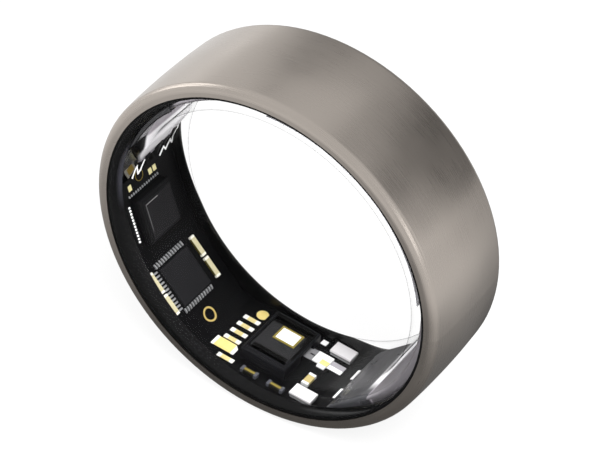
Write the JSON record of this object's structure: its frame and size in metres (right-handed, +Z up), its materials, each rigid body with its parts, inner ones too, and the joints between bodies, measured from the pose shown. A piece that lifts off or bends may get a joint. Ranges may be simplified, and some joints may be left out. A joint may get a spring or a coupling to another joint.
{
  "type": "smart ring",
  "caption": "Health tracking smart ring: satin metal shell, clear inner moulding that shows the board, chips and optical sensor, and a curved battery.",
  "frame": {"origin": "centre of the finger bore, half way along it", "axes": "+Y along the finger axis from the front edge to the rear edge, +Z up, away from the optical sensor"},
  "size_m": [0.0254, 0.0078, 0.0254],
  "materials": {
    "titanium": "satin",
    "seal": "matte",
    "clear_resin": "clear gloss",
    "potting_resin": "clear gloss",
    "carrier_black": "gloss",
    "board": "satin",
    "chip": "satin",
    "chip_lid": "satin",
    "solder": "satin",
    "capacitor_ceramic": "satin",
    "gold": "satin",
    "housing_black": "satin",
    "photodiode_white": "satin",
    "lamp_ceramic": "satin",
    "lamp_white": "gloss",
    "silver_trace": "satin",
    "strip_film": "satin",
    "battery_foil": "satin",
    "nickel": "satin",
    "foam_tape": "matte",
    "ferrite": "matte",
    "copper": "satin"
  },
  "bodies": {
    "root": {"outer_shell": "titanium", "edge_seals": "seal", "resin_liner": "clear_resin", "carrier": "carrier_black", "bay_potting": "potting_resin", "end_potting": "potting_resin", "main_board": "board", "board_plates": "board", "motion_chip": "chip", "motion_chip_lid": "chip_lid", "motion_chip_leads": "solder", "processor": "chip", "processor_leads": "solder", "bar_capacitors": "capacitor_ceramic", "bar_capacitor_ends": "solder", "ring_pads": "gold", "contact_fingers": "gold", "ground_pads": "gold", "sensor_housing": "housing_black", "optical_chip": "chip", "photodiode_frame": "gold", "photodiode": "photodiode_white", "lamp_bases": "lamp_ceramic", "lamp_domes": "lamp_white", "chip_capacitors": "capacitor_ceramic", "capacitor_ends": "solder", "temperature_sensor": "lamp_ceramic", "temperature_pad": "gold", "temperature_tail": "solder", "test_pads": "gold", "solder_pads": "solder", "antenna_trace": "silver_trace", "battery_terminal": "solder", "terminal_gilt": "gold", "battery_strips": "strip_film", "battery_cell": "battery_foil", "battery_ends": "battery_foil", "battery_seal": "battery_foil", "battery_tabs": "nickel", "protection_module": "chip", "battery_tape": "foam_tape", "ferrite_sheet": "ferrite", "charging_coil": "copper"}
  },
  "joints": []
}
